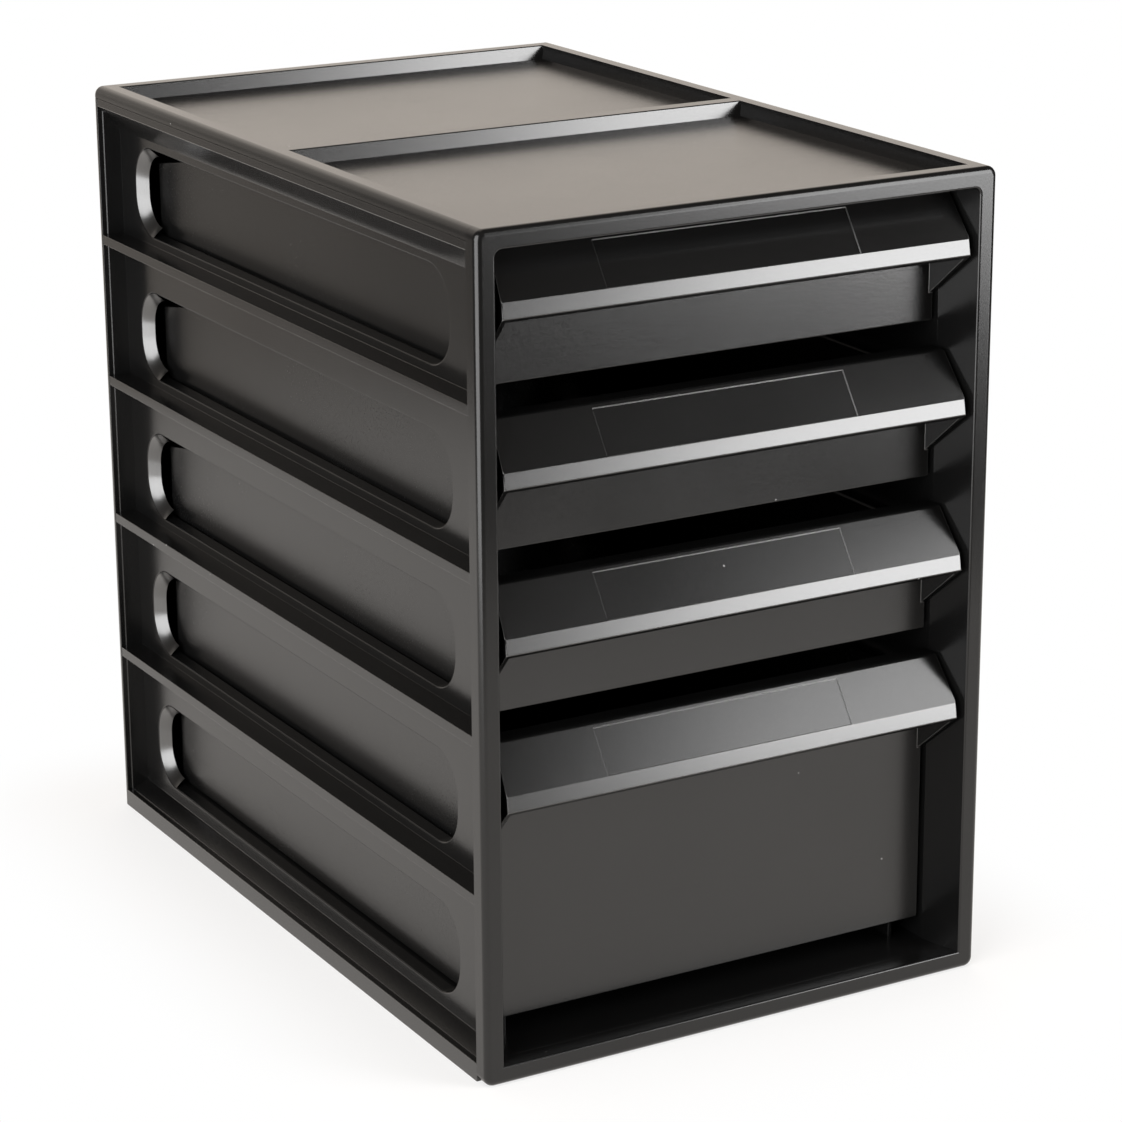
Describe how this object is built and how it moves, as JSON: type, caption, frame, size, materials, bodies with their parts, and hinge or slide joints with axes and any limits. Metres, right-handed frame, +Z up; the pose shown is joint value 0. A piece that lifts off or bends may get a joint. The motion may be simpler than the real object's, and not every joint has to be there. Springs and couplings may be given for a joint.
{
  "type": "letter tray stack with drawers",
  "caption": "Desktop case of moulded plastic with stacked paper drawers, hooded fronts and slotted sides.",
  "frame": {"origin": "on the ground under the middle of the case", "axes": "+Z up, -Y towards the front where the drawers open, +X to the right seen from the front"},
  "size_m": [0.26, 0.398, 0.38],
  "materials": {
    "case": "satin, finely textured",
    "drawer_tray": "satin",
    "drawer_front": "satin with glossy lip"
  },
  "bodies": {
    "case": {"front_frame": "case", "left_side_panel": "case", "right_side_panel": "case", "top_panel": "case", "base_panel": "case", "back_panel": "case"},
    "deep_drawer": {"deep_drawer_tray": "drawer_tray", "deep_drawer_front": "drawer_front"},
    "third_drawer": {"third_drawer_tray": "drawer_tray", "third_drawer_front": "drawer_front"},
    "second_drawer": {"second_drawer_tray": "drawer_tray", "second_drawer_front": "drawer_front"},
    "top_drawer": {"top_drawer_tray": "drawer_tray", "top_drawer_front": "drawer_front"}
  },
  "joints": [
    {"name": "deep_drawer_slide", "type": "slide", "parent": "case", "child": "deep_drawer", "axis": [0, -1, 0], "range_m": [0, 0.28]},
    {"name": "third_drawer_slide", "type": "slide", "parent": "case", "child": "third_drawer", "axis": [0, -1, 0], "range_m": [0, 0.28]},
    {"name": "second_drawer_slide", "type": "slide", "parent": "case", "child": "second_drawer", "axis": [0, -1, 0], "range_m": [0, 0.28]},
    {"name": "top_drawer_slide", "type": "slide", "parent": "case", "child": "top_drawer", "axis": [0, -1, 0], "range_m": [0, 0.28]}
  ]
}
